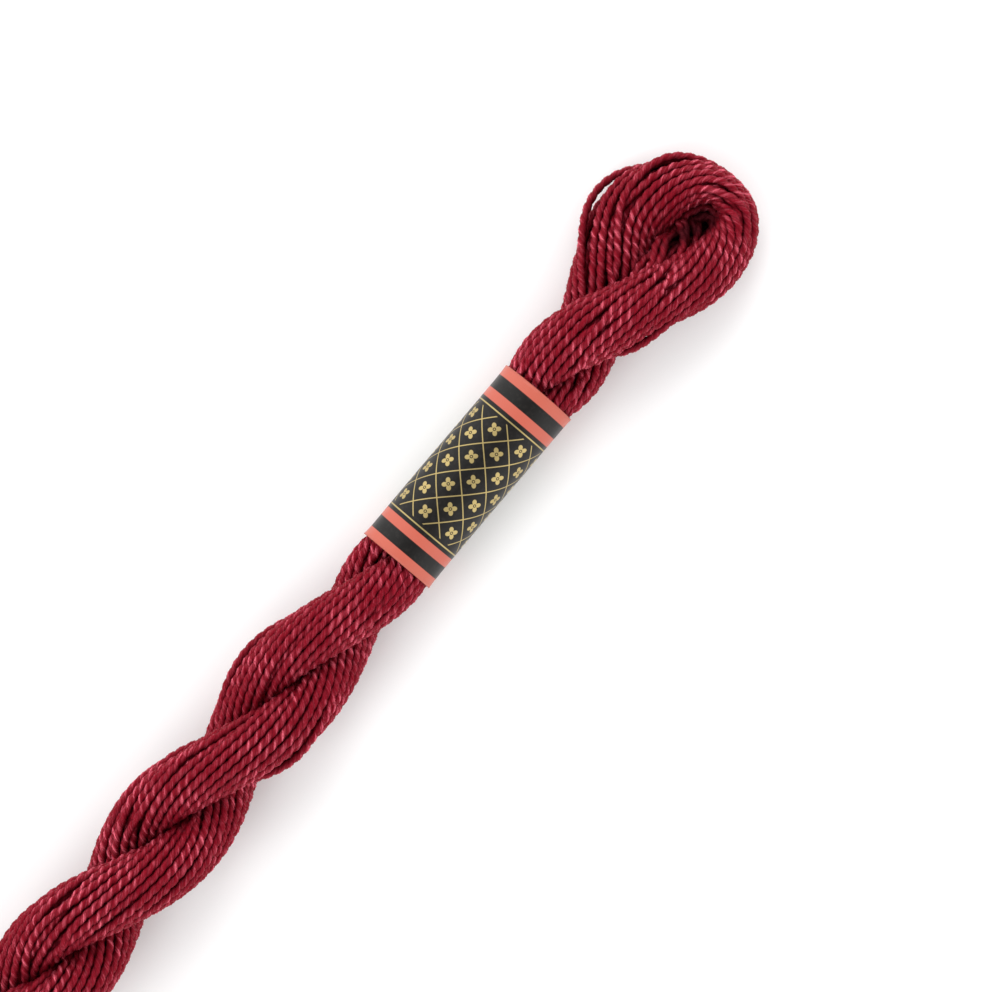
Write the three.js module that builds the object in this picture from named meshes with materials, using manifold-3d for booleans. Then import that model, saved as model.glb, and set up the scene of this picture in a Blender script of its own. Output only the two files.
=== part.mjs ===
// A skein of pearl cotton lying on a table, held together by a paper band.
// One hank of thread is twisted on itself into two legs, which turn back into each other
// through a loop at each end. Lengths are in millimetres, the skein lies along X, and the
// table is the plane Z = 0.

import * as THREE from "three";
import { mergeVertices } from "three/addons/utils/BufferGeometryUtils.js";
import Module from "manifold-3d";

const wasm = await Module();
wasm.setup();

// The twisted body, between the outermost two places where one leg lies on the other.
const BODY_LENGTH = 165;
const BITE = 0.8; // how far each leg presses past the skein's own axis
const FLAT = 0.2; // how far the hank's underside is pressed flat on the table

// Each row is a neck, where one leg lies straight on top of the other.
// from: its distance from the neck beside the fold loop.
const NECKS = [
  { from: 0 },
  { from: 16.4 },
  { from: 32.9 },
  { from: 50.3 },
  { from: 66.4 },
  { from: 82.5 },
  { from: 99.2 },
  { from: 115.8 },
  { from: 132.2 },
  { from: 148.7 },
  { from: BODY_LENGTH },
];

// The body's size along its length, thin under the band and fuller away from it.
// from: distance from the neck beside the fold loop. lobe: from the skein's axis to a leg's
// outer edge. side: half of a leg's width across that. lift: height of the skein's axis.
const GIRTHS = [
  { from: 0, lobe: 4.75, side: 3.17, lift: 4.55 },
  { from: 4, lobe: 4.4, side: 3.15, lift: 4.3 },
  { from: 7, lobe: 3.95, side: 3.15, lift: 4.05 },
  { from: 17, lobe: 3.7, side: 3.15, lift: 4.05 },
  { from: 27.4, lobe: 3.9, side: 2.9, lift: 4.05 },
  { from: 33, lobe: 4.4, side: 2.8, lift: 4.22 },
  { from: 41, lobe: 4.95, side: 2.9, lift: 4.7 },
  { from: 50.3, lobe: 5.25, side: 2.96, lift: 5.05 },
  { from: 66.4, lobe: 5.45, side: 3.2, lift: 5.25 },
  { from: 99.2, lobe: 5.4, side: 3.15, lift: 5.2 },
  { from: 132.2, lobe: 5.25, side: 3.1, lift: 5.05 },
  { from: 148.7, lobe: 5.05, side: 3.12, lift: 4.85 },
  { from: BODY_LENGTH, lobe: 4.75, side: 3.17, lift: 4.55 },
];

// The loop at each end, where one leg bends round and becomes the other.
const LOOP_LENGTH = 48; // of its middle line, roughly
const LOOP_DROP = 3; // how steeply the upper leg comes down to the table, as a power

// The fold loop's middle line seen from above, from the upper leg round to the lower one.
// turn: the share of the way round. ahead: beyond the neck. aside: off the skein's axis.
// side: half of the leg's width there. deep: half of its thickness.
const FOLD_LOOP = [
  { turn: 0, ahead: 0, aside: 0, side: 3.17, deep: 2.775 },
  { turn: 0.05, ahead: 2.66, aside: -1.19, side: 3.0, deep: 2.8 },
  { turn: 0.1, ahead: 5.25, aside: -2.28, side: 2.9, deep: 2.85 },
  { turn: 0.2, ahead: 9.99, aside: -3.8, side: 3.25, deep: 2.75 },
  { turn: 0.3, ahead: 13.7, aside: -4.15, side: 2.8, deep: 2.95 },
  { turn: 0.4, ahead: 16.2, aside: -3.1, side: 2.35, deep: 3.3 },
  { turn: 0.5, ahead: 17, aside: -1, side: 2.1, deep: 3.4 },
  { turn: 0.6, ahead: 16, aside: 1.1, side: 2.8, deep: 3 },
  { turn: 0.7, ahead: 13.4, aside: 2.8, side: 3.55, deep: 2.6 },
  { turn: 0.8, ahead: 9.99, aside: 3.6, side: 3.75, deep: 2.5 },
  { turn: 0.9, ahead: 5.25, aside: 2.25, side: 3.45, deep: 2.6 },
  { turn: 0.95, ahead: 2.66, aside: 1.18, side: 3.25, deep: 2.7 },
  { turn: 1, ahead: 0, aside: 0, side: 3.17, deep: 2.775 },
];

// The paper band, a plain sleeve round both legs.
const BAND_FROM = 7.25; // its near end, from the neck beside the fold loop
const BAND_LENGTH = 19.85;
const BAND_RADIUS = 3.82;
const BAND_THICKNESS = 1;
const CLEARANCE = 0.3; // between the band and the hank

const THREAD_COLOUR = 0x991c38;
const BAND_COLOUR = 0x1d1a19;

// How finely the surfaces are faceted.
const LEG_SIDES = 16;
const LEG_STEPS = 120;
const BAND_SIDES = 40;
const TANGENT_STEP = 1e-3;
const MERGE_WITHIN = 1e-4;

const NECK_X = BODY_LENGTH / 2;
const UP = new THREE.Vector3(0, 0, 1);

// A smooth curve through a table's rows, read at one place: cubic between two rows, with each
// row's slope taken from the rows on both sides of it.
function readTable(rows, place, column, at) {
  const last = rows.length - 1;
  let low = 0;
  while (low < last - 1 && rows[low + 1][place] < at) low += 1;
  const value = (row) => (column === null ? row : rows[row][column]);
  const slope = (row) => {
    const before = Math.max(row - 1, 0);
    const after = Math.min(row + 1, last);
    return (value(after) - value(before)) / (rows[after][place] - rows[before][place]);
  };
  const span = rows[low + 1][place] - rows[low][place];
  const share = (at - rows[low][place]) / span;
  const ease = share * share * (3 - 2 * share);
  const rise = share * (1 - share) * (1 - share) * slope(low);
  const fall = share * share * (share - 1) * slope(low + 1);
  return value(low) * (1 - ease) + value(low + 1) * ease + span * (rise + fall);
}

// The number of half turns that the legs make from the neck beside the fold loop.
function halfTurns(from) {
  return readTable(NECKS, "from", null, from);
}

// The way from the skein's axis to a leg's middle, in the body. Leg 0 is on top at the neck
// beside the fold loop, and leg 1 is under it.
function outward(leg, from) {
  const angle = Math.PI * (halfTurns(from) + leg);
  return new THREE.Vector3(0, Math.sin(angle), Math.cos(angle));
}

function bodyPoint(leg, from) {
  const lobe = readTable(GIRTHS, "from", "lobe", from);
  const lift = readTable(GIRTHS, "from", "lift", from);
  const point = outward(leg, from).multiplyScalar((lobe - BITE) / 2);
  return point.add(new THREE.Vector3(NECK_X - from, 0, lift));
}

// The fold loop's middle line: the upper leg comes down on to the table before the bend, and
// the lower leg lies on it all the way back to the neck.
function loopPoint(turn) {
  const raised = Math.max(Math.cos(Math.PI * turn), 0) ** LOOP_DROP;
  return new THREE.Vector3(
    NECK_X + readTable(FOLD_LOOP, "turn", "ahead", turn),
    readTable(FOLD_LOOP, "turn", "aside", turn),
    readTable(FOLD_LOOP, "turn", "deep", turn) - FLAT + (GIRTHS[0].lobe - BITE) * raised,
  );
}

// The hank's middle line goes once round the whole skein: leg 0 towards the fold loop, that loop,
// leg 1 back, and the far loop. A station is a distance along it from where leg 0 leaves the far
// loop, and this finds the stretch that it is in and the share of that stretch behind it.
function findStretch(station) {
  const half = BODY_LENGTH + LOOP_LENGTH;
  const around = THREE.MathUtils.euclideanModulo(station, 2 * half);
  const leg = around < half ? 0 : 1;
  const past = around - leg * half;
  if (past < BODY_LENGTH) {
    return { inLoop: false, leg, from: leg === 0 ? BODY_LENGTH - past : past };
  }
  const share = (past - BODY_LENGTH) / LOOP_LENGTH;
  return { inLoop: true, leg, turn: leg === 0 ? share : 1 - share };
}

// The far loop is the fold loop turned half round about an upright line, and gone round backwards.
function hankPoint(station) {
  const stretch = findStretch(station);
  if (!stretch.inLoop) return bodyPoint(stretch.leg, stretch.from);
  const point = loopPoint(stretch.turn);
  return stretch.leg === 0 ? point : point.multiply(new THREE.Vector3(-1, -1, 1));
}

// A leg's section at a station: its depth runs along depthAxis and its width across that.
// roll is how far the section has turned about the leg's own middle line.
function hankSection(station) {
  const stretch = findStretch(station);
  if (stretch.inLoop) {
    const side = readTable(FOLD_LOOP, "turn", "side", stretch.turn);
    const depth = readTable(FOLD_LOOP, "turn", "deep", stretch.turn);
    return { depthAxis: UP.clone(), depth, side, roll: 0 };
  }
  const travel = stretch.leg === 0 ? 1 : -1;
  const lobe = readTable(GIRTHS, "from", "lobe", stretch.from);
  const side = readTable(GIRTHS, "from", "side", stretch.from);
  const depthAxis = outward(stretch.leg, stretch.from).multiplyScalar(travel);
  const roll = travel * Math.PI * halfTurns(stretch.from);
  return { depthAxis, depth: (lobe + BITE) / 2, side, roll };
}

// Half of the hank as a closed tube: an upright cylinder of radius 1 and height 1, whose every
// vertex is moved to its place along the middle line, from one station to another. The section
// rolls within the vertices, so their rows run straight along the leg.
function hankHalf(firstStation, lastStation) {
  const tube = new THREE.CylinderGeometry(1, 1, 1, LEG_SIDES, LEG_STEPS);
  const vertices = tube.getAttribute("position");
  const place = new THREE.Vector3();
  for (let i = 0; i < vertices.count; i += 1) {
    place.fromBufferAttribute(vertices, i);
    const share = Math.round((place.y + 0.5) * LEG_STEPS) / LEG_STEPS;
    const station = THREE.MathUtils.lerp(firstStation, lastStation, share);
    const middle = hankPoint(station);
    const ahead = hankPoint(station + TANGENT_STEP);
    const along = ahead.sub(hankPoint(station - TANGENT_STEP)).normalize();
    const section = hankSection(station);
    const deep = section.depthAxis.addScaledVector(along, -along.dot(section.depthAxis));
    const wide = along.clone().cross(deep.normalize());
    const radius = Math.hypot(place.x, place.z);
    const angle = Math.atan2(place.z, place.x) - section.roll;
    middle.addScaledVector(wide, radius * section.side * Math.cos(angle));
    middle.addScaledVector(deep, radius * section.depth * Math.sin(angle));
    vertices.setXYZ(i, middle.x, middle.y, middle.z);
  }
  return tube;
}

// A closed three.js geometry as a solid that can be joined and cut.
function toSolid(geometry) {
  const bare = geometry.clone();
  bare.deleteAttribute("normal");
  bare.deleteAttribute("uv");
  const merged = mergeVertices(bare, MERGE_WITHIN);
  const mesh = new wasm.Mesh({
    numProp: 3,
    vertProperties: merged.getAttribute("position").array,
    triVerts: new Uint32Array(merged.index.array),
  });
  return new wasm.Manifold(mesh);
}

function toGeometry(solid) {
  const mesh = solid.getMesh();
  const geometry = new THREE.BufferGeometry();
  geometry.setAttribute("position", new THREE.BufferAttribute(mesh.vertProperties, 3));
  geometry.setIndex(new THREE.BufferAttribute(mesh.triVerts, 1));
  geometry.computeVertexNormals();
  return geometry;
}

// A ring about the X axis, centred on the band.
function ringAboutBand(innerRadius, outerRadius, length) {
  const profile = [
    new THREE.Vector2(innerRadius, -length / 2),
    new THREE.Vector2(outerRadius, -length / 2),
    new THREE.Vector2(outerRadius, length / 2),
    new THREE.Vector2(innerRadius, length / 2),
    new THREE.Vector2(innerRadius, -length / 2),
  ];
  const ring = new THREE.LatheGeometry(profile, BAND_SIDES);
  const middle = BAND_FROM + BAND_LENGTH / 2;
  ring.rotateZ(-Math.PI / 2);
  ring.translate(NECK_X - middle, 0, readTable(GIRTHS, "from", "lift", middle));
  return ring;
}

// The hank: both halves joined, drawn in under the band, and pressed flat where it meets the table.
function makeHank() {
  const half = BODY_LENGTH + LOOP_LENGTH;
  const bend = BODY_LENGTH + LOOP_LENGTH / 2;
  const both = toSolid(hankHalf(bend - half, bend)).add(toSolid(hankHalf(bend, bend + half)));
  const drawnIn = ringAboutBand(
    BAND_RADIUS - BAND_THICKNESS - CLEARANCE,
    2 * BAND_RADIUS,
    BAND_LENGTH + 2 * CLEARANCE,
  );
  const table = new THREE.BoxGeometry(2 * BODY_LENGTH, BODY_LENGTH, BODY_LENGTH);
  table.translate(0, 0, -BODY_LENGTH / 2);
  return toGeometry(both.subtract(toSolid(drawnIn)).subtract(toSolid(table)));
}

function makeBand() {
  return ringAboutBand(BAND_RADIUS - BAND_THICKNESS, BAND_RADIUS, BAND_LENGTH);
}

const hank = new THREE.Mesh(
  makeHank(),
  new THREE.MeshStandardMaterial({ color: THREAD_COLOUR, roughness: 0.5, metalness: 0 }),
);
hank.name = "hank";

const band = new THREE.Mesh(
  makeBand(),
  new THREE.MeshStandardMaterial({ color: BAND_COLOUR, roughness: 0.4, metalness: 0 }),
);
band.name = "paper_band";

const skein = new THREE.Group();
skein.add(hank, band);

export default skein;
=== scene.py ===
"""A skein of pearl cotton in a paper band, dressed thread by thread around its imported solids.

The hank's thread is drawn as strands that run round and round the ring that it was wound in.
Each strand is a two-ply tube. Lengths here are in millimetres, and meshes are made in metres.
"""

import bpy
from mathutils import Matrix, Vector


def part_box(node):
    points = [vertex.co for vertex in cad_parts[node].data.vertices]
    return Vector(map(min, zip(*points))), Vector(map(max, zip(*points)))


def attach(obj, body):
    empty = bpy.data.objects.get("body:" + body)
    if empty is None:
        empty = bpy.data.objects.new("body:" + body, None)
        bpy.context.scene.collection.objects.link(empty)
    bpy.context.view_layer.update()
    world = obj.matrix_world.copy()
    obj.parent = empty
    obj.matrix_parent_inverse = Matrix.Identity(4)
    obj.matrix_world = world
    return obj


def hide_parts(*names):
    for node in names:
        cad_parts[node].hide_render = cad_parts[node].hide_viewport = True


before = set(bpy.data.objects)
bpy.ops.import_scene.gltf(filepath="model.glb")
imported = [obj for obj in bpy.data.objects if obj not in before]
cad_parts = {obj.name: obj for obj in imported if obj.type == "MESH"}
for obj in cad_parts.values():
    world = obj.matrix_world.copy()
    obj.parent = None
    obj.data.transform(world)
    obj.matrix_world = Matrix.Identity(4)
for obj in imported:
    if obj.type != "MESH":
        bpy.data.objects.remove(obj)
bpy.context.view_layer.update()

import logging
import math
from dataclasses import dataclass, field
from enum import Enum

import bpy
import numpy as np

Triple = tuple[float, float, float]

LOG = logging.getLogger("skein")
METRES = 0.001
SEED = 20
TINY = 1e-9
ROUNDING = 1e-6

# The hank's form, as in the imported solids.
BODY_LENGTH = 165.0
LOOP_LENGTH = 48.0
BITE = 0.8
FLAT = 0.2
LOOP_DROP = 3
NECK_X = BODY_LENGTH / 2
HALF_RING = BODY_LENGTH + LOOP_LENGTH


@dataclass(frozen=True)
class Table:
    """Sizes at places along a length, with a smooth curve through each column.

    Fields:
        columns: the columns' names, the first of them the place.
        rows: one tuple of numbers for each place, in rising order.
    """

    columns: tuple[str, ...]
    rows: tuple[tuple[float, ...], ...]

    def column(self, name: str) -> np.ndarray:
        """Returns one column as an array."""
        return np.array([row[self.columns.index(name)] for row in self.rows], dtype=float)

    def read(self, name: str, at: np.ndarray) -> np.ndarray:
        """Reads a column between its rows, as a cubic whose slope at a row comes from its neighbours.

        Args:
            name: the column.
            at: the places to read it at.

        Returns:
            The values there.
        """
        place = self.column(self.columns[0])
        value = self.column(name)
        row = np.arange(len(place))
        before = np.maximum(row - 1, 0)
        after = np.minimum(row + 1, len(place) - 1)
        slope = (value[after] - value[before]) / (place[after] - place[before])
        low = np.clip(np.searchsorted(place, at) - 1, 0, len(place) - 2)
        span = place[low + 1] - place[low]
        share = (at - place[low]) / span
        ease = share * share * (3 - 2 * share)
        rise = share * (1 - share) ** 2 * slope[low]
        fall = share * share * (share - 1) * slope[low + 1]
        return value[low] * (1 - ease) + value[low + 1] * ease + span * (rise + fall)


NECKS = Table(
    ("from", "half_turns"),
    (
        (0, 0), (16.4, 1), (32.9, 2), (50.3, 3), (66.4, 4), (82.5, 5),
        (99.2, 6), (115.8, 7), (132.2, 8), (148.7, 9), (BODY_LENGTH, 10),
    ),
)

GIRTHS = Table(
    ("from", "lobe", "side", "lift"),
    (
        (0, 4.75, 3.17, 4.55), (4, 4.4, 3.15, 4.3),
        (6, 3.95, 3.1, 4.1), (7.4, 3.58, 3.02, 4.05),
        (17, 3.54, 3.0, 4.05), (26.9, 3.58, 2.9, 4.05),
        (28.4, 3.92, 2.88, 4.07), (33, 4.4, 2.8, 4.22),
        (41, 4.95, 2.9, 4.7), (50.3, 5.25, 2.96, 5.05),
        (66.4, 5.45, 3.2, 5.25), (99.2, 5.4, 3.15, 5.2),
        (132.2, 5.25, 3.1, 5.05), (148.7, 5.05, 3.12, 4.85),
        (BODY_LENGTH, 4.75, 3.17, 4.55),
    ),
)

FOLD_LOOP = Table(
    ("turn", "ahead", "aside", "side", "deep"),
    (
        (0, 0, 0, 3.17, 2.775), (0.05, 2.66, -1.19, 3.0, 2.8),
        (0.1, 5.25, -2.28, 2.9, 2.85), (0.2, 9.99, -3.8, 3.35, 2.75),
        (0.3, 13.7, -4.15, 2.9, 2.95), (0.4, 16.2, -3.1, 2.4, 3.3),
        (0.5, 17, -1, 2.15, 3.4), (0.6, 16, 1.1, 2.85, 3),
        (0.7, 13.4, 2.8, 3.65, 2.6), (0.8, 9.99, 3.6, 3.85, 2.5),
        (0.9, 5.25, 2.25, 3.45, 2.6), (0.95, 2.66, 1.18, 3.25, 2.7),
        (1, 0, 0, 3.17, 2.775),
    ),
)


def unit(vectors: np.ndarray) -> np.ndarray:
    """Returns vectors scaled to length 1."""
    return vectors / np.linalg.norm(vectors, axis=-1, keepdims=True)


def smoothstep(share: np.ndarray) -> np.ndarray:
    """Returns an S-shaped ramp from 0 to 1, flat outside that range."""
    share = np.clip(share, 0, 1)
    return share * share * (3 - 2 * share)


def around_ring(values: np.ndarray, place: np.ndarray) -> np.ndarray:
    """Reads a closed row of values between its entries, as a Catmull-Rom curve.

    Args:
        values: one entry for each even step round the ring, along the first axis.
        place: where to read, counted in steps, from 0 up to the number of entries.

    Returns:
        The values there.
    """
    count = len(values)
    low = np.floor(place).astype(int)
    share = (place - low).reshape((-1,) + (1,) * (values.ndim - 1))
    back, here, ahead, beyond = (values[(low + step) % count] for step in (-1, 0, 1, 2))
    linear = (ahead - back) / 2
    square = back - 2.5 * here + 2 * ahead - beyond / 2
    cube = (beyond - back) / 2 + 1.5 * (here - ahead)
    return here + share * (linear + share * (square + share * cube))


class Ring:
    """The ring that the hank was wound in, as it lies: leg 0, the fold loop, leg 1, the far loop.

    Its middle line, and a leg's section across it, at even stations all the way round. The
    section's depth runs along deep, its width along wide, and turn_in says how far the strands
    have gone round the section.
    """

    LAY_TURNS = 8.0  # turns that the strands make in a leg, besides those that the legs make
    EASE_TURN = 0.15  # share of a loop in which a leg's flattened side becomes round
    EYE_FILL = 2.9  # how far a loop's inner side comes forward low down, closing its eye
    EYE_HOLLOW = 0.9  # how far it draws back high up, so that the eye is a dark hollow
    EYE_ENDS = 0.08  # share of a loop at each end in which neither happens
    EYE_EASE = 0.12  # share of a loop in which both come on
    EYE_RIM = 0.25  # share of the half depth at which it starts to come forward
    EYE_DROP = 0.65  # share of the half depth in which it does
    NESTLE = 0.12  # how far a leg's flattened side reaches past the other leg's

    def __init__(self, count: int) -> None:
        """Works out the ring.

        Args:
            count: the number of stations.
        """
        station = np.arange(count) * 2 * HALF_RING / count
        self.leg = (station >= HALF_RING).astype(int)
        past = station - self.leg * HALF_RING
        self.in_loop = past >= BODY_LENGTH
        reach = np.where(self.in_loop, BODY_LENGTH, past)
        self.from_neck = np.where(self.leg == 0, BODY_LENGTH - reach, reach)
        share = np.where(self.in_loop, (past - BODY_LENGTH) / LOOP_LENGTH, 0)
        self.turn = np.where(self.leg == 0, share, 1 - share)
        self.middle = np.where(self.in_loop[:, None], self._loop_line(), self._body_line())
        along = unit(np.roll(self.middle, -1, axis=0) - np.roll(self.middle, 1, axis=0))
        travel = np.where(self.leg == 0, 1, -1)[:, None]
        axis = np.where(self.in_loop[:, None], [0.0, 0.0, 1.0], self._outward() * travel)
        self.deep = unit(axis - along * np.sum(axis * along, axis=1, keepdims=True))
        self.wide = np.cross(along, self.deep)
        self._size_sections()
        self.turn_in = self._turn_in()

    def _outward(self) -> np.ndarray:
        """Returns the way from the skein's axis to the leg's middle, in the body."""
        angle = math.pi * (NECKS.read("half_turns", self.from_neck) + self.leg)
        return np.stack([0 * angle, np.sin(angle), np.cos(angle)], axis=1)

    def _body_line(self) -> np.ndarray:
        """Works out the middle line in the body: a helix about the skein's axis.

        Returns:
            Its points.
        """
        lobe = GIRTHS.read("lobe", self.from_neck)
        lift = GIRTHS.read("lift", self.from_neck)
        axis = np.stack([NECK_X - self.from_neck, 0 * lift, lift], axis=1)
        return axis + self._outward() * (lobe[:, None] - BITE) / 2

    def _loop_line(self) -> np.ndarray:
        """Works out the middle line in the loops, the far one as the fold loop turned half round.

        Returns:
            Its points.
        """
        raised = np.maximum(np.cos(math.pi * self.turn), 0) ** LOOP_DROP
        height = FOLD_LOOP.read("deep", self.turn) - FLAT
        height = height + (GIRTHS.rows[0][1] - BITE) * raised
        ahead = NECK_X + FOLD_LOOP.read("ahead", self.turn)
        aside = FOLD_LOOP.read("aside", self.turn)
        facing = np.where(self.leg == 0, 1, -1)
        return np.stack([ahead * facing, aside * facing, height], axis=1)

    def _size_sections(self) -> None:
        """Sets the section's half width, and its half depths on both sides of the middle line.

        In the body a leg is flattened against the other one, and in a loop that eases away.
        """
        lobe = GIRTHS.read("lobe", self.from_neck)
        outer = (lobe + BITE) / 2
        inner = (lobe - BITE) / 2 + self.NESTLE
        first = self.leg == 0
        deep = FOLD_LOOP.read("deep", self.turn)
        under = smoothstep(self.turn / self.EASE_TURN)
        over = smoothstep((1 - self.turn) / self.EASE_TURN)
        flat = (GIRTHS.rows[0][1] - BITE) / 2 + self.NESTLE
        side = GIRTHS.read("side", self.from_neck)
        self.side = np.where(self.in_loop, FOLD_LOOP.read("side", self.turn), side)
        self.eye_side = np.where(first, 1, -1)[:, None]
        nearest_end = np.minimum(self.turn, 1 - self.turn)
        self.eye = np.where(self.in_loop, smoothstep((nearest_end - self.EYE_ENDS) / self.EYE_EASE), 0)
        self.above = np.where(self.in_loop, flat + (deep - flat) * over, np.where(first, outer, inner))
        self.below = np.where(self.in_loop, flat + (deep - flat) * under, np.where(first, inner, outer))

    def _turn_in(self) -> np.ndarray:
        """Works out how far the strands have turned in the section, by the legs' twist and their lay.

        Returns:
            An angle for each station.
        """
        whole = NECKS.rows[-1][1]
        half_turns = NECKS.read("half_turns", self.from_neck)
        by_legs = np.where(self.leg == 0, whole - half_turns, whole + half_turns)
        by_legs = np.where(self.in_loop, whole * (1 + self.leg), by_legs)
        step = np.linalg.norm(np.roll(self.middle, -1, axis=0) - self.middle, axis=1)
        walked = np.concatenate([[0], np.cumsum(step)[:-1]]) / step.sum()
        return math.pi * by_legs + 2 * math.pi * self.LAY_TURNS * walked

    def half_depth(self, deep: np.ndarray) -> np.ndarray:
        """Returns the section's half depth on the side that each offset lies on."""
        return np.where(deep > 0, self.above[:, None], self.below[:, None])

    def half_width(self, wide: np.ndarray, deep_share: np.ndarray) -> np.ndarray:
        """Works out the section's half width on the side that each offset lies on.

        In a loop the inner side draws back high up and comes forward low down, by an S-curve.

        Args:
            wide: the offsets along wide.
            deep_share: their offsets along deep, as a share of the half depth.

        Returns:
            The half widths.
        """
        low = smoothstep((self.EYE_RIM - deep_share) / self.EYE_DROP)
        inward = (self.EYE_FILL + self.EYE_HOLLOW) * low - self.EYE_HOLLOW
        return self.side[:, None] + self.eye[:, None] * inward * (wide * self.eye_side < 0)

    def place(self, across: np.ndarray) -> np.ndarray:
        """Returns the points whose offsets along wide and deep at each station are given."""
        return (
            self.middle[:, None]
            + self.wide[:, None] * across[..., :1]
            + self.deep[:, None] * across[..., 1:]
        )


@dataclass(frozen=True)
class Layer:
    """Strands that lie at one depth in a leg.

    Fields:
        count: how many strands.
        inset: from the leg's outline to their middles.
        pieces: how many meshes they are shared out to.
        spacing: between two sections of a strand's mesh.
        corners: points of a strand's section.
    """

    count: int
    inset: float
    pieces: int
    spacing: float
    corners: int


def turned(across: np.ndarray, angle: np.ndarray) -> np.ndarray:
    """Turns offsets from wide towards deep.

    Args:
        across: the strands' offsets, for each station.
        angle: one for each station.

    Returns:
        The turned offsets.
    """
    cosine = np.cos(angle)[:, None]
    sine = np.sin(angle)[:, None]
    wide, deep = across[..., 0], across[..., 1]
    return np.stack([cosine * wide - sine * deep, sine * wide + cosine * deep], axis=-1)


@dataclass
class Packing:
    """Where each strand runs in the leg: wandering a little, but never through its neighbours.

    Fields:
        ring, layers: the ring, and the strands that follow it, from the outermost layer in.
        thickness: of a strand.
        rounds: how often the strands are pushed apart.
        push, pull, ease: how much of an overlap, of the way to a strand's aim and of the way to
            its neighbouring stations a round takes away.
        last_rounds, last_ease: how often they are smoothed at the end, and how much.
        squareness: the power that makes a flattened side's outline squarer than an ellipse.
        wander_angle, wander_depth: how far an aim wanders, in radians and millimetres.
        waves: how many whole waves of wander go round the ring, from and up to.
        least_depth, least_rise: what a half depth and a section's steepness count as at least.
    """

    ring: Ring
    layers: tuple[Layer, ...]
    thickness: float
    rounds: int = 90
    push: float = 0.35
    pull: float = 0.04
    ease: float = 0.2
    last_rounds: int = 10
    last_ease: float = 0.25
    squareness: float = 2.6
    wander_angle: float = 0.12
    wander_depth: float = 0.22
    waves: tuple[int, int] = (5, 26)
    least_depth: float = 0.1
    least_rise: float = 0.2

    def _wander(self, rng: np.random.Generator, strands: int) -> np.ndarray:
        """Makes smooth closed noise: a sum of cosines of the place round the ring.

        Args:
            rng: the source of their sizes and phases.
            strands: how many strands it is for.

        Returns:
            A number for each station and strand.
        """
        count = len(self.ring.middle)
        wave = np.arange(*self.waves)
        phase = rng.uniform(0, 2 * math.pi, (len(wave), strands))
        size = rng.normal(0, 1, (len(wave), strands)) / math.sqrt(len(wave) / 2)
        place = np.arange(count)[:, None, None] * 2 * math.pi / count
        return np.sum(size * np.cos(wave[:, None] * place + phase), axis=1)

    def _aims(self, rng: np.random.Generator) -> np.ndarray:
        """Spaces each layer's strands evenly round the section, at its inset, with some wander.

        Args:
            rng: the source of the wander.

        Returns:
            Where each strand would like to run: offsets along wide and deep, for each station.
        """
        ring = self.ring
        aims = []
        for layer in self.layers:
            start = np.arange(layer.count) * 2 * math.pi / layer.count
            angle = ring.turn_in[:, None] + start + self.wander_angle * self._wander(rng, layer.count)
            inset = layer.inset + self.wander_depth * self._wander(rng, layer.count)
            half_wide = ring.half_width(np.cos(angle), np.sin(angle))
            wide = np.maximum(half_wide - inset, 0) * np.cos(angle)
            deep = np.maximum(ring.half_depth(np.sin(angle)) - inset, 0) * np.sin(angle)
            aims.append(np.stack([wide, deep], axis=-1))
        return np.concatenate(aims, axis=1)

    def _contain(self, across: np.ndarray) -> np.ndarray:
        """Draws offsets back inside the leg's outline and on to the table.

        The outline is an ellipse outside and squarer where one leg is flattened by the other:
        the sum of the offsets over the half sizes, each to a power, is at most 1.

        Args:
            across: the strands' offsets along wide and deep, for each station.

        Returns:
            The same, drawn back.
        """
        ring = self.ring
        radius = self.thickness / 2
        wide, deep = across[..., 0], across[..., 1]
        half_deep = ring.half_depth(deep)
        half_wide = ring.half_width(wide, deep / half_deep)
        power = np.where(half_deep < ring.half_depth(-deep) - ROUNDING, self.squareness, 2.0)
        wide_share = np.abs(wide) / (half_wide - radius)
        deep_share = np.abs(deep) / np.maximum(half_deep - radius, self.least_depth)
        over = (wide_share**power + deep_share**power) ** (1 / power)
        inside = across / np.maximum(over, 1)[..., None]
        height = ring.place(inside)[..., 2]
        lift = np.maximum(radius - height, 0)
        up = np.stack([ring.wide[:, 2], ring.deep[:, 2]], axis=1)
        up = up / np.maximum(np.sum(up**2, axis=1, keepdims=True), self.least_rise)
        return inside + lift[..., None] * up[:, None]

    def _eased(self, rest: np.ndarray, share: float) -> np.ndarray:
        """Returns offsets moved a share of the way to the stations before and after."""
        return rest + share * (np.roll(rest, 1, axis=0) + np.roll(rest, -1, axis=0) - 2 * rest)

    def settle(self, rng: np.random.Generator) -> np.ndarray:
        """Pushes overlapping strands apart, station by station, while keeping them smooth.

        Args:
            rng: the source of the strands' wander.

        Returns:
            The strands' offsets along wide and deep, for each station.
        """
        spin = self.ring.turn_in
        aim = turned(self._contain(self._aims(rng)), -spin)
        rest = aim.copy()
        self_pair = np.eye(aim.shape[1], dtype=bool)
        for _ in range(self.rounds):
            gap = rest[:, :, None] - rest[:, None]
            distance = np.sqrt(np.sum(gap**2, axis=-1)) + TINY
            overlap = np.maximum(self.thickness - distance, 0) / distance
            overlap[:, self_pair] = 0
            rest = rest + self.push * np.sum(gap * overlap[..., None], axis=2)
            rest = rest + self.pull * (aim - rest)
            rest = self._eased(rest, self.ease)
            rest = turned(self._contain(turned(rest, spin)), -spin)
        for _ in range(self.last_rounds):
            rest = self._eased(rest, self.last_ease)
        return self._contain(turned(rest, spin))


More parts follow.
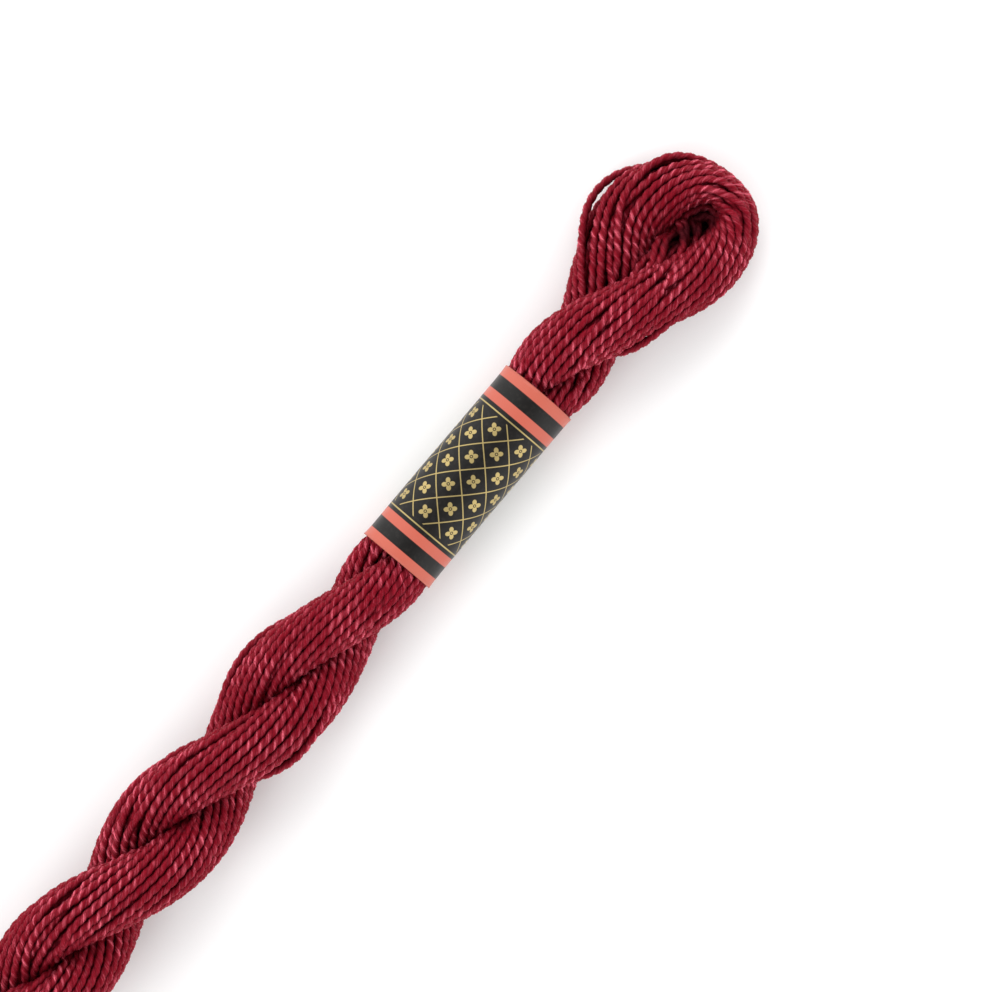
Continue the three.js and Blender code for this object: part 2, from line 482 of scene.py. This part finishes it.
def new_mesh(name: str, vertices: np.ndarray, quads: np.ndarray) -> bpy.types.Mesh:
    """Makes a smooth mesh of four-sided faces.

    Args:
        name: the mesh's name.
        vertices: their places, in millimetres.
        quads: each face's vertices, turning left seen from outside.

    Returns:
        The mesh, in metres.
    """
    mesh = bpy.data.meshes.new(name)
    mesh.vertices.add(len(vertices))
    mesh.vertices.foreach_set("co", (vertices * METRES).astype(np.float32).ravel())
    mesh.loops.add(quads.size)
    mesh.loops.foreach_set("vertex_index", quads.astype(np.int32).ravel())
    mesh.polygons.add(len(quads))
    mesh.polygons.foreach_set("loop_start", np.arange(0, quads.size, 4, dtype=np.int32))
    mesh.polygons.foreach_set("use_smooth", np.ones(len(quads), dtype=bool))
    mesh.update(calc_edges=True)
    return mesh


def add_map(mesh: bpy.types.Mesh, corners: np.ndarray) -> None:
    """Gives a mesh its UV map, from a pair for each corner of each face."""
    layer = mesh.uv_layers.new(name="lay")
    layer.data.foreach_set("uv", corners.astype(np.float32).ravel())


def show(mesh: bpy.types.Mesh, material: bpy.types.Material) -> bpy.types.Object:
    """Puts a mesh in the scene under its own name.

    Args:
        mesh: the mesh.
        material: its only material.

    Returns:
        The object.
    """
    mesh.materials.append(material)
    piece = bpy.data.objects.new(mesh.name, mesh)
    bpy.context.scene.collection.objects.link(piece)
    return piece


class Value:
    """A number that a material works out, so that shader maths reads as Python."""

    def __init__(self, shader: "Shader", socket: bpy.types.NodeSocket) -> None:
        """Wraps an output socket of a shader's node."""
        self.shader = shader
        self.socket = socket

    def _math(self, operation: str, *values: "Value | float") -> "Value":
        """Adds a Math node for an operation on the given values."""
        inputs = dict(enumerate(values))
        node = self.shader.node("ShaderNodeMath", {"operation": operation}, inputs)
        return Value(self.shader, node.outputs[0])

    def __add__(self, other: "Value | float") -> "Value":
        """Returns the sum."""
        return self._math("ADD", self, other)

    __radd__ = __add__

    def __sub__(self, other: "Value | float") -> "Value":
        """Returns the difference."""
        return self._math("SUBTRACT", self, other)

    def __rsub__(self, other: float) -> "Value":
        """Returns the difference the other way round."""
        return self._math("SUBTRACT", other, self)

    def __mul__(self, other: "Value | float") -> "Value":
        """Returns the product."""
        return self._math("MULTIPLY", self, other)

    __rmul__ = __mul__

    def __truediv__(self, other: "Value | float") -> "Value":
        """Returns the quotient."""
        return self._math("DIVIDE", self, other)

    def __abs__(self) -> "Value":
        """Returns the size without its sign."""
        return self._math("ABSOLUTE", self)

    def __pow__(self, other: "Value | float") -> "Value":
        """Returns the power."""
        return self._math("POWER", self, other)

    def part(self) -> "Value":
        """Returns what is left past the whole number."""
        return self._math("FRACT", self)

    def cosine(self) -> "Value":
        """Returns the cosine."""
        return self._math("COSINE", self)

    def angle_from(self, other: "Value") -> "Value":
        """Returns the angle of the point whose height is this and whose width is the other."""
        return self._math("ARCTAN2", self, other)

    def least(self, other: "Value | float") -> "Value":
        """Returns the smaller of two."""
        return self._math("MINIMUM", self, other)

    def most(self, other: "Value | float") -> "Value":
        """Returns the larger of two."""
        return self._math("MAXIMUM", self, other)

    def below(self, edge: "Value | float", soft: float) -> "Value":
        """Returns 1 where this is under an edge and 0 over it, with a soft step."""
        return ((edge - self) / soft + 0.5).least(1.0).most(0.0)


class Shader:
    """A material's node tree, built one call at a time."""

    def __init__(self, name: str) -> None:
        """Makes a material that has only its surface shader.

        Args:
            name: its name.
        """
        self.material = bpy.data.materials.new(name)
        self.material.use_nodes = True
        self.tree = self.material.node_tree
        self.surface = self.tree.nodes["Principled BSDF"]

    def node(
        self, kind: str, settings: dict | None = None, inputs: dict | None = None
    ) -> bpy.types.Node:
        """Adds a node.

        Args:
            kind: its type.
            settings: its own properties, such as a Math node's operation.
            inputs: a value or a link for each named or numbered input.

        Returns:
            The node.
        """
        node = self.tree.nodes.new(kind)
        for name, setting in (settings or {}).items():
            setattr(node, name, setting)
        for name, value in (inputs or {}).items():
            self._feed(node.inputs[name], value)
        return node

    def _feed(self, socket: bpy.types.NodeSocket, value: object) -> None:
        """Links a socket to a value or a node's output, or sets it.

        Args:
            socket: the input.
            value: a Value, an output socket, a colour or a number.
        """
        if isinstance(value, Value):
            self.tree.links.new(value.socket, socket)
        elif isinstance(value, bpy.types.NodeSocket):
            self.tree.links.new(value, socket)
        elif isinstance(value, tuple) and len(value) == 3 and socket.type == "RGBA":
            socket.default_value = (*value, 1.0)
        else:
            socket.default_value = value

    def value(self, node: bpy.types.Node, output: str | int = 0) -> Value:
        """Returns a node's output as a value."""
        return Value(self, node.outputs[output])

    def blend(self, share: Value, first: object, second: object) -> bpy.types.NodeSocket:
        """Returns the colour that goes from the first to the second as share goes from 0 to 1."""
        inputs = {"Factor": share, 6: first, 7: second}
        return self.node("ShaderNodeMix", {"data_type": "RGBA"}, inputs).outputs[2]

    def attribute(self, name: str) -> Value:
        """Returns a mesh's stored share as a value."""
        return self.value(self.node("ShaderNodeAttribute", {"attribute_name": name}), "Fac")

    def on_object(self, scale: float, detail: float) -> bpy.types.Node:
        """Adds noise on Object coordinates, with this many grains in a metre."""
        place = self.node("ShaderNodeTexCoord").outputs["Object"]
        return self.node("ShaderNodeTexNoise", {}, {"Vector": place, "Scale": scale, "Detail": detail})

    def relief(self, height: bpy.types.Node, strength: float, depth: float) -> bpy.types.NodeSocket:
        """Returns the normal of a surface that a node raises by this depth in metres."""
        inputs = {"Strength": strength, "Distance": depth, "Height": height.outputs[0]}
        return self.node("ShaderNodeBump", {}, inputs).outputs[0]

    def surface_of(self, **inputs: object) -> bpy.types.Material:
        """Sets the surface shader's sockets.

        Args:
            inputs: a value for each, with the spaces of its name as underscores.

        Returns:
            The finished material.
        """
        for name, value in inputs.items():
            self._feed(self.surface.inputs[name.replace("_", " ")], value)
        return self.material


@dataclass(frozen=True)
class PearlCotton:
    """Mercerised two-ply cotton, dyed deep garnet, with a painted sheen on its plies and painted
    shade between them.

    The first two colours are a ply's and its painted sheen's, and the others the painted shade
    between plies and strands and inside a loop's eye. The shares say how far these cover what
    is under them, and the powers how narrow the painted sheen is across a ply and how short
    along it. A row of the map has its size in millimetres.
    """

    deep: Triple = (0.232, 0.0027, 0.0115)
    # pale: the colour of the painted sheen, a painted highlight on the plies
    pale: Triple = (1.0, 0.19, 0.27)
    # groove: painted shade, between plies and between strands
    groove: Triple = (0.1, 0.001, 0.0045)
    # unlit: painted shade, inside a loop's eye
    unlit: Triple = (0.012, 0.0004, 0.0008)
    groove_shade_share: float = 0.8
    tucked_shade_share: float = 0.85
    eye_shade_share: float = 0.9
    row_length: float = 54.0
    row_width: float = 3.0
    fibre_scale: Triple = (0.9, 3.5, 1.0)
    fibre_contrast: float = 2.0
    # sheen: how strong the painted sheen is on the plies
    sheen: float = 0.45
    sheen_contrast: float = 6.0
    crest_power: float = 6.0
    facing_power: float = 4.0
    rough: float = 0.36
    rough_fibres: float = 0.14
    rough_groove: float = 0.1

    def material(self, rows: int) -> bpy.types.Material:
        """Builds the finish.

        Args:
            rows: how many rows of strand the mesh's map has.

        Returns:
            The material.
        """
        shader = Shader(f"pearl_cotton_{rows}_rows")
        fibres = self._fibres(shader, rows)
        hollow = shader.attribute("groove")
        tucked = shader.attribute("tucked")
        # Painted highlight: a sheen along the top of each ply, patchy from place to place and fading
        # where the strand faces in.
        patch = shader.value(shader.on_object(scale=260.0, detail=2.0)) - 0.5
        painted_sheen_mask = (1 - hollow) ** self.crest_power * (1 - tucked) ** self.facing_power
        silky = (shader.value(fibres) - 0.5) * self.fibre_contrast
        # Adds the painted sheen to the fibre streaks.
        silky = silky + (self.sheen + patch * self.sheen_contrast).most(0.0).least(1.0) * painted_sheen_mask
        lit = shader.blend(silky.most(0.0).least(1.0), self.deep, self.pale)
        # Painted shade: darker deep between the plies and where a strand faces in between its
        # neighbours.
        painted_shade_mask = (self.groove_shade_share * hollow**3).most(self.tucked_shade_share * tucked)
        colour = shader.blend(painted_shade_mask, lit, self.groove)
        # Painted shade: nearly black inside a loop's eye.
        colour = shader.blend(self.eye_shade_share * shader.attribute("eye"), colour, self.unlit)
        return shader.surface_of(
            Base_Color=colour,
            Roughness=self.rough + self.rough_fibres * shader.value(fibres) + self.rough_groove * hollow,
            Normal=shader.relief(fibres, strength=0.8, depth=0.00025),
            Metallic=0.4,
            Specular_IOR_Level=0.7,
            Specular_Tint=(1.0, 0.16, 0.24),
        )

    def _fibres(self, shader: Shader, rows: int) -> bpy.types.Node:
        """Adds the fine streaks that run along a ply: noise on the map, brought to millimetres.

        Args:
            shader: the shader they are added to.
            rows: how many rows the map has.

        Returns:
            The noise.
        """
        lay = shader.node("ShaderNodeUVMap", {"uv_map": "lay"}).outputs[0]
        scale = (self.row_length, self.row_width * rows, 1.0)
        laid = shader.node("ShaderNodeMapping", {}, {"Vector": lay, "Scale": scale}).outputs[0]
        inputs = {"Vector": laid, "Scale": self.fibre_scale}
        stretched = shader.node("ShaderNodeMapping", {}, inputs).outputs[0]
        inputs = {"Vector": stretched, "Scale": 1.0, "Detail": 4.0, "Roughness": 0.65}
        return shader.node("ShaderNodeTexNoise", {}, inputs)


@dataclass(frozen=True)
class Stray:
    """A strand that stands off the hank's edge.

    Fields:
        x, y: where, seen from above.
        proud: how far it stands off.
        length: of the stretch that does.
    """

    x: float
    y: float
    proud: float
    length: float


@dataclass
class Hank:
    """The hank's thread, as closed strands that run all the way round the ring.

    A strand's surface is open where it faces outwards by open_facing, and tucked in between
    strands where it does by less; there its colour takes a painted shade. A loop's eye is a slit
    in plan, given from the neck on. Its painted shade reaches some half widths past it, and
    grows in the depth eye_fade under its rim.
    """

    thickness: float = 0.84
    pitch: float = 2.12
    ply_radius: float = 0.32
    ply_offset: float = 0.105
    stations: int = 960
    layers: tuple[Layer, ...] = (
        Layer(count=20, inset=0.43, pieces=4, spacing=0.21, corners=8),
        Layer(count=13, inset=1.27, pieces=2, spacing=0.4, corners=6),
        Layer(count=7, inset=2.1, pieces=1, spacing=0.8, corners=5),
    )
    strays: tuple[Stray, ...] = (
        Stray(x=40.7, y=4.6, proud=0.5, length=9.0),
        Stray(x=92.4, y=7.0, proud=0.75, length=12.0),
        Stray(x=98.9, y=4.2, proud=0.55, length=7.0),
        Stray(x=84.4, y=-3.6, proud=0.58, length=5.0),
        Stray(x=35.3, y=-3.9, proud=0.5, length=7.0),
    )
    open_facing: float = 0.8
    facing_range: float = 1.1
    eye_ends: tuple[tuple[float, float], ...] = ((8.9, -0.1), (14.3, -1.4))
    eye_widths: tuple[float, float] = (0.25, 1.1)
    eye_reach: float = 1.6
    eye_rim: float = 5.6
    eye_fade: float = 1.2
    finish: PearlCotton = field(default_factory=PearlCotton)

    def build(self) -> list[bpy.types.Object]:
        """Builds every strand.

        Returns:
            The pieces.
        """
        rng = np.random.default_rng(SEED)
        coarse = Ring(self.stations)
        across = Packing(coarse, self.layers, self.thickness).settle(rng)
        fine_count = int(2 * HALF_RING / min(layer.spacing for layer in self.layers))
        fine = Ring(fine_count)
        place = np.arange(fine_count) * self.stations / fine_count
        lines = fine.place(around_ring(across, place))
        outward = lines - fine.middle[:, None]
        first = 0
        pieces = []
        for depth, layer in enumerate(self.layers):
            chosen = lines[:, first : first + layer.count].transpose(1, 0, 2)
            facing = unit(outward[:, first : first + layer.count]).transpose(1, 0, 2)
            if depth == 0:
                chosen = self._pull_strays(chosen, fine)
            first += layer.count
            both = np.concatenate([chosen, facing], axis=2)
            for number, group in enumerate(np.array_split(both, layer.pieces)):
                name = f"hank_strands_{depth + 1}_{number + 1}"
                pieces.append(self._strands(name, group, layer, rng))
        return pieces

    def _pull_strays(self, lines: np.ndarray, ring: Ring) -> np.ndarray:
        """Moves the strand nearest each stray's place outwards, by a bell curve along the strand.

        Args:
            lines: the outer strands' middle lines.
            ring: the ring that they follow.

        Returns:
            The lines with the strays moved.
        """
        lines = lines.copy()
        for stray in self.strays:
            off = np.hypot(lines[..., 0] - stray.x, lines[..., 1] - stray.y)
            strand, station = np.unravel_index(np.argmin(off), off.shape)
            count = len(ring.middle)
            away = (np.arange(count) - station + count // 2) % count - count // 2
            bell = np.exp(-((away * 2 * HALF_RING / count / (stray.length / 2)) ** 2))
            outward = lines[strand, station] - ring.middle[station]
            outward[2] = 0
            lines[strand] += bell[:, None] * stray.proud * unit(outward)
        return lines

    def _profile(self, corners: int) -> tuple[np.ndarray, np.ndarray]:
        """Works out a strand's section: the outline of two plies that lie side by side.

        Args:
            corners: how many corners it has.

        Returns:
            Each corner's angle, and its distance from the strand's middle.
        """
        angle = np.arange(corners) * 2 * math.pi / corners
        reach = self.ply_offset * np.abs(np.cos(angle))
        return angle, reach + np.sqrt(self.ply_radius**2 - (self.ply_offset * np.sin(angle)) ** 2)

    def _strands(
        self, name: str, lines: np.ndarray, layer: Layer, rng: np.random.Generator
    ) -> bpy.types.Object:
        """Makes closed two-ply tubes along lines.

        The section turns steadily along the strand, against the clock seen from ahead, and
        each strand's number of turns is whole, so that its ends meet.

        Args:
            name: the piece's name.
            lines: the strands' middle lines, each closed, and the way out of the leg beside them.
            layer: how finely to make them.
            rng: the source of each strand's first angle.

        Returns:
            The piece.
        """
        angle, reach = self._profile(layer.corners)
        closed = np.concatenate([lines, lines[:, :1]], axis=1)[..., :3]
        step = np.linalg.norm(np.diff(closed, axis=1), axis=2)
        walked = np.concatenate([np.zeros((len(lines), 1)), np.cumsum(step, axis=1)], axis=1)
        count = int(walked[:, -1].mean() / layer.spacing)
        strands = []
        depths = []
        for line, distance in zip(lines, walked):
            even = np.arange(count) * distance[-1] / count
            read = around_ring(line, np.interp(even, distance, np.arange(len(distance))))
            middle, outward = read[:, :3], read[:, 3:]
            along = unit(np.roll(middle, -1, axis=0) - np.roll(middle, 1, axis=0))
            up = unit([0, 0, 1] - along * along[:, 2:])
            aside = np.cross(along, up)
            turns = round(distance[-1] / self.pitch)
            spin = 2 * math.pi * (turns * np.arange(count) / count + rng.random())
            ray = spin[:, None] + angle
            across = aside[:, None] * np.cos(ray)[..., None] + up[:, None] * np.sin(ray)[..., None]
            strands.append(middle[:, None] + across * reach[:, None])
            depths.append(np.sum(across * outward[:, None], axis=2))
        vertices = np.stack(strands)
        shape = vertices.shape[:3]
        mesh = new_mesh(name, vertices.reshape(-1, 3), self._quads(shape))
        rows = self._map(mesh, shape, walked[:, -1].mean())
        # groove: how deep each vertex lies between plies; it masks the painted shade there, the painted
        # sheen and the roughness.
        hollow = (reach.max() - reach) / max(reach.max() - reach.min(), TINY)
        self._store(mesh, "groove", np.tile(hollow, len(lines) * count))
        # tucked: how far each vertex faces in between strands; it masks the painted shade there and
        # shortens the painted sheen.
        tucked = smoothstep((self.open_facing - np.stack(depths)) / self.facing_range)
        self._store(mesh, "tucked", tucked)
        # eye: the mask of the painted shade inside a loop's eye.
        self._store(mesh, "eye", self._in_eye(vertices))
        piece = show(mesh, self.finish.material(rows))
        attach(piece, "root")
        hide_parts("hank")
        return piece

    def _in_eye(self, points: np.ndarray) -> np.ndarray:
        """Works out how far points are inside a loop's eye, where hardly any light comes: the mask of
        the painted shade there.

        A point is in it by how near it is to the slit in plan, as a share of the slit's half
        width there, and by how far it is below the rim.

        Args:
            points: the points.

        Returns:
            A share for each, from 0 outside to 1 inside.
        """
        near, far = (np.array(end) for end in self.eye_ends)
        facing = np.sign(points[..., :1])
        plan = points[..., :2] * facing - [NECK_X, 0]
        share = np.clip((plan - near) @ (far - near) / np.sum((far - near) ** 2), 0, 1)
        off = np.linalg.norm(plan - near - share[..., None] * (far - near), axis=-1)
        half_width = self.eye_widths[0] + (self.eye_widths[1] - self.eye_widths[0]) * share
        below = (self.eye_rim - points[..., 2]) / self.eye_fade
        return smoothstep(self.eye_reach - off / half_width) * smoothstep(below)

    def _quads(self, shape: tuple[int, int, int]) -> np.ndarray:
        """Joins the sections of closed tubes, from corner to corner.

        Args:
            shape: how many tubes there are, sections in a tube and corners in a section.

        Returns:
            The faces, as vertex numbers.
        """
        strands, count, corners = shape
        strand, section, corner = np.ogrid[:strands, :count, :corners]
        here, ahead = section * corners, (section + 1) % count * corners
        beside = (corner + 1) % corners
        faces = [here + corner, ahead + corner, ahead + beside, here + beside]
        first = strand * count * corners
        return np.stack([first + face for face in faces], axis=-1).reshape(-1, 4)

    def _map(self, mesh: bpy.types.Mesh, shape: tuple[int, int, int], length: float) -> int:
        """Lays each strand's surface out in rows of even length, one row over another.

        Args:
            mesh: the tubes.
            shape: how many tubes there are, sections in a tube and corners in a section.
            length: of a strand, on average.

        Returns:
            The number of rows.
        """
        strands, count, corners = shape
        per_strand = max(1, round(length / self.finish.row_length))
        per_row = math.ceil(count / per_strand)
        rows = strands * per_strand
        strand, section, corner = np.ogrid[:strands, :count, :corners]
        row = strand * per_strand + section // per_row
        low_u = np.broadcast_to(section % per_row / per_row, shape)
        high_u = low_u + 1 / per_row
        low_v = np.broadcast_to((row + corner / corners) / rows, shape)
        high_v = low_v + 1 / (rows * corners)
        ends = [(low_u, low_v), (high_u, low_v), (high_u, high_v), (low_u, high_v)]
        add_map(mesh, np.stack([np.stack(end, axis=-1) for end in ends], axis=-2).reshape(-1, 2))
        return rows

    def _store(self, mesh: bpy.types.Mesh, name: str, share: np.ndarray) -> None:
        """Stores a share from 0 to 1 at each vertex.

        Args:
            mesh: the mesh.
            name: groove for how deep it lies between plies, tucked for how far it faces in
                between strands, or eye for how far it is inside a loop's eye.
            share: the shares.
        """
        stored = mesh.attributes.new(name, "FLOAT", "POINT")
        stored.data.foreach_set("value", share.ravel().astype(np.float32))


@dataclass(frozen=True)
class BandPaper:
    """Coated paper, printed black with coral stripes and a diaper of small gold rosettes.

    Sizes down to edge are in millimetres, and those of the diaper's lines and rosettes in its
    cells, with fine and soft for how soft their edges are. Where ink is worn the paper is bare.
    """

    black: Triple = (0.006, 0.005, 0.0045)
    coral: Triple = (0.5, 0.112, 0.075)
    gold: Triple = (0.45, 0.345, 0.14)
    bare: Triple = (0.5, 0.42, 0.38)
    stripe: float = 1.0
    inner_stripe_at: float = 2.35
    inner_stripe: float = 0.95
    hairline: float = 0.12
    hairline_gap: float = 0.45
    field_gap: float = 0.8
    cell: float = 3.2
    edge: float = 0.05
    lattice: float = 0.022
    bud: float = 0.1
    petal: float = 0.17
    hole: float = 0.07
    dot: float = 0.035
    fine: float = 0.015
    soft: float = 0.02
    wear: float = 0.06
    rough: float = 0.3
    rough_grain: float = 0.12
    polish: float = 0.06

    def material(self, length: float, width: float) -> bpy.types.Material:
        """Builds the print.

        Args:
            length: of the sleeve, along which its map's first share runs.
            width: of the cut paper, along which the second share runs.

        Returns:
            The material.
        """
        shader = Shader("band_paper")
        lay = shader.node("ShaderNodeUVMap", {"uv_map": "lay"})
        split = shader.node("ShaderNodeSeparateXYZ", {}, {"Vector": lay.outputs[0]})
        along = shader.value(split, "X") * length
        around = shader.value(split, "Y") * width
        from_end = along.least(length - along)
        coral = self._band(from_end, self.stripe / 2, self.stripe)
        inner_middle = self.inner_stripe_at + self.inner_stripe / 2
        coral = coral.most(self._band(from_end, inner_middle, self.inner_stripe))
        past_stripes = self.inner_stripe_at + self.inner_stripe
        gold = self._band(from_end, past_stripes + self.hairline_gap, self.hairline)
        inside = 1 - from_end.below(past_stripes + self.field_gap, self.edge)
        gold = gold.most(inside * self._diaper(along - length / 2, around))
        paper = shader.on_object(scale=2600.0, detail=3.0)
        grain = shader.value(paper)
        ink = shader.blend(gold, shader.blend(coral, self.black, self.coral), self.gold)
        return shader.surface_of(
            Base_Color=shader.blend((self.wear * (grain - 0.5)).most(0.0), ink, self.bare),
            Roughness=self.rough + self.rough_grain * grain - self.polish * gold,
            Metallic=gold * 0.55,
            Normal=shader.relief(paper, strength=0.25, depth=0.00002),
            Specular_IOR_Level=0.25,
        )

    def _band(self, place: Value, middle: float, width: float) -> Value:
        """Returns 1 on a stripe round the sleeve."""
        return abs(place - middle).below(width / 2, self.edge)

    def _diaper(self, along: Value, around: Value) -> Value:
        """Draws the lattice of thin lines and the rosette in each of its cells.

        Args:
            along: the place along the sleeve, from its middle.
            around: the place round it.

        Returns:
            1 on the gold.
        """
        first = (along + around) / self.cell
        second = (along - around) / self.cell
        side_1 = abs(first.part() - 0.5)
        side_2 = abs(second.part() - 0.5)
        lattice = (0.5 - side_1.most(side_2)).below(self.lattice, self.fine)
        right, up = first.part() - 0.5, second.part() - 0.5
        reach = (right * right + up * up) ** 0.5
        petals = abs((up.angle_from(right) * 2).cosine())
        flower = reach.below(self.bud + self.petal * petals, self.soft)
        flower = flower * (1 - reach.below(self.hole, self.soft))
        return lattice.most(flower).most(reach.below(self.dot, self.fine))


@dataclass
class PaperBand:
    """The printed paper sleeve, one strip wound round the hank and glued on its own end.

    Its start lies under its end for the angle lap, and past that it steps outwards. The ends
    flare and slant by a power of the place along it, and it is uneven by slow waves.
    """

    thickness: float = 0.18
    glue: float = 0.03
    lap: float = 1.0
    step: float = 0.35
    step_at: float = 0.98
    seam: float = -2.2  # angle of the outer end, from straight up towards +Y
    along_steps: int = 60
    around_steps: int = 220
    ease: float = 0.03
    flare: float = 0.07
    flare_power: int = 16
    slant: float = 0.1
    slant_power: int = 8
    slant_ease: float = 0.05
    wave: float = 0.012
    finish: BandPaper = field(default_factory=BandPaper)

    def build(self) -> bpy.types.Object:
        """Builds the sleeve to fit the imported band's box.

        Returns:
            The piece.
        """
        low, high = (np.array(corner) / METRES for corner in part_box("paper_band"))
        middle = (low + high) / 2
        radius = (high[1] - low[1]) / 2
        share_along = np.linspace(0, 1, self.along_steps + 1)[:, None]
        share_around = np.linspace(0, 1, self.around_steps + 1)[None, :]
        sweep = 2 * math.pi + self.lap
        angle = self.seam - sweep + sweep * share_around
        climbed = smoothstep((sweep * share_around - self.lap * self.step_at) / self.step)
        outer = radius - (1 - climbed) * (self.thickness + self.glue)
        outer = outer - self.ease + self._unevenness(share_along, angle)
        outer = outer + self.flare * (2 * np.abs(share_along - 0.5)) ** self.flare_power
        ahead = low[0] + (high[0] - low[0]) * share_along
        lean = self.slant * np.cos(angle) * (2 * share_along - 1) ** self.slant_power
        ahead = ahead + lean - self.slant_ease
        skins = []
        for reach in (outer, outer - self.thickness):
            place = [ahead + 0 * reach, reach * np.sin(angle), middle[2] + reach * np.cos(angle)]
            skins.append(np.stack(np.broadcast_arrays(*place), axis=-1))
        vertices = np.concatenate([skin.reshape(-1, 3) for skin in skins])
        quads, corners = self._faces()
        mesh = new_mesh("band_sleeve", vertices, quads)
        add_map(mesh, corners)
        cut_width = sweep * (radius - self.thickness / 2)
        piece = show(mesh, self.finish.material(high[0] - low[0], cut_width))
        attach(piece, "root")
        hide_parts("paper_band")
        return piece

    def _unevenness(self, share_along: np.ndarray, angle: np.ndarray) -> np.ndarray:
        """Returns how far the paper is pushed in and out by the thread under it: slow waves."""
        wave = np.cos(3 * angle + 5 * share_along) + np.cos(5 * angle - 7 * share_along + 1)
        return self.wave * (wave - 2)

    def _faces(self) -> tuple[np.ndarray, np.ndarray]:
        """Joins the outer and inner skins into one closed sheet.

        Returns:
            The faces, and each corner's place on the print. The cut edges take the print's edge.
        """
        rows, columns = self.along_steps + 1, self.around_steps + 1
        number = np.arange(rows * columns).reshape(rows, columns)
        inner = number + rows * columns
        places = np.meshgrid(np.linspace(0, 1, rows), np.linspace(0, 1, columns), indexing="ij")
        share = np.stack(places, axis=-1).reshape(-1, 2)
        share = np.concatenate([share, share])
        sheets = [
            number,
            inner[:, ::-1],
            np.stack([inner[0], number[0]]),
            np.stack([number[-1], inner[-1]]),
            np.stack([number[:, 0], inner[:, 0]]),
            np.stack([inner[:, -1], number[:, -1]]),
        ]
        quads = np.concatenate([self._patch(sheet) for sheet in sheets])
        return quads, share[quads].reshape(-1, 2)

    def _patch(self, grid: np.ndarray) -> np.ndarray:
        """Returns the faces between the points of a grid of vertex numbers."""
        corners = [grid[:-1, :-1], grid[1:, :-1], grid[1:, 1:], grid[:-1, 1:]]
        return np.stack(corners, axis=-1).reshape(-1, 4)


@dataclass(frozen=True)
class FloorFinish:
    """A plain pale matt tabletop."""

    colour: Triple = (0.95, 0.95, 0.95)

    def material(self) -> bpy.types.Material:
        """Builds the tabletop's finish."""
        return Shader("floor").surface_of(Base_Color=self.colour, Roughness=0.9, Specular_IOR_Level=0.1)


class Lamp(Enum):
    """The studio's lamps: where each hangs, its width, its power, in metres and watts.

    The key makes the soft shadow, and the small glint lamp the silky highlights on the plies.
    """

    KEY = ((0.3, 0.3, 0.42), 0.35, 1.15)
    GLINT = ((-0.45, 0.05, 0.42), 0.3, 0.66)


@dataclass
class Studio:
    """The tabletop, the lamps and the camera straight above the skein.

    The sky has heights, from 0 at the horizon to 1 overhead, and the brightness at each.
    """

    look_at: Triple = (65.6, -3.1, 5.0)
    skein_angle: float = 49.85  # of the skein's +X from the picture's right, in degrees
    frame_width: float = 89.3
    camera_height: float = 500.0
    camera_reach: float = 100.0  # in metres
    floor_half: float = 3000.0
    sky: tuple[tuple[float, float], ...] = ((0.0, 1.78), (0.5, 1.58), (0.8, 0.92), (1.0, 0.38))

    def build(self) -> None:
        """Sets up the camera, the lamps, the sky and the tabletop."""
        self._camera()
        for lamp in Lamp:
            self._lamp(lamp)
        scene = bpy.context.scene
        scene.view_settings.view_transform = "Standard"
        scene.world = self._sky()
        half = self.floor_half
        corners = np.array([[-half, -half, 0], [half, -half, 0], [half, half, 0], [-half, half, 0]])
        mesh = new_mesh("floor", corners, np.array([[0, 1, 2, 3]]))
        show(mesh, FloorFinish().material())

    def _sky(self) -> bpy.types.World:
        """Makes pale surroundings that are darker overhead.

        Returns:
            The world.
        """
        world = bpy.data.worlds.new("studio")
        world.use_nodes = True
        tree = world.node_tree
        way = tree.nodes.new("ShaderNodeTexCoord")
        split = tree.nodes.new("ShaderNodeSeparateXYZ")
        ramp = tree.nodes.new("ShaderNodeValToRGB")
        brightest = max(level for _, level in self.sky)
        while len(ramp.color_ramp.elements) < len(self.sky):
            ramp.color_ramp.elements.new(0.5)
        for element, (height, level) in zip(ramp.color_ramp.elements, self.sky):
            element.position = height
            element.color = (level / brightest,) * 3 + (1.0,)
        tree.links.new(way.outputs["Generated"], split.inputs[0])
        tree.links.new(split.outputs["Z"], ramp.inputs[0])
        background = tree.nodes["Background"]
        tree.links.new(ramp.outputs[0], background.inputs["Color"])
        background.inputs["Strength"].default_value = brightest
        return world

    def _camera(self) -> None:
        """Hangs the camera above the skein, turned so that the skein crosses the picture."""
        data = bpy.data.cameras.new("camera")
        data.lens = data.sensor_width * self.camera_height / self.frame_width
        data.clip_end = self.camera_reach
        camera = bpy.data.objects.new("camera", data)
        x, y, z = self.look_at
        camera.location = (x * METRES, y * METRES, (z + self.camera_height) * METRES)
        camera.rotation_euler = (0.0, 0.0, -math.radians(self.skein_angle))
        bpy.context.scene.collection.objects.link(camera)
        bpy.context.scene.camera = camera

    def _lamp(self, lamp: Lamp) -> None:
        """Hangs a square lamp that faces the part of the skein in the picture.

        Args:
            lamp: the lamp.
        """
        place, width, power = lamp.value
        data = bpy.data.lights.new(lamp.name.lower(), "AREA")
        data.size = width
        data.energy = power
        light = bpy.data.objects.new(lamp.name.lower(), data)
        centre = np.array([self.look_at[0], 0, 0]) * METRES
        light.location = centre + np.array(place)
        light.rotation_euler = self._aim(-np.array(place))
        bpy.context.scene.collection.objects.link(light)

    def _aim(self, way: np.ndarray) -> Triple:
        """Returns the Euler angles that point a lamp's face along a way."""
        x, y, z = way / np.linalg.norm(way)
        return (math.acos(-z), 0.0, math.atan2(-x, y))


def main() -> None:
    """Builds the skein and its studio."""
    logging.basicConfig(level=logging.INFO, format="%(name)s: %(message)s")
    Studio().build()
    for piece in Hank().build() + [PaperBand().build()]:
        LOG.info("%s: %d faces", piece.name, len(piece.data.polygons))


if __name__ == "__main__":
    main()
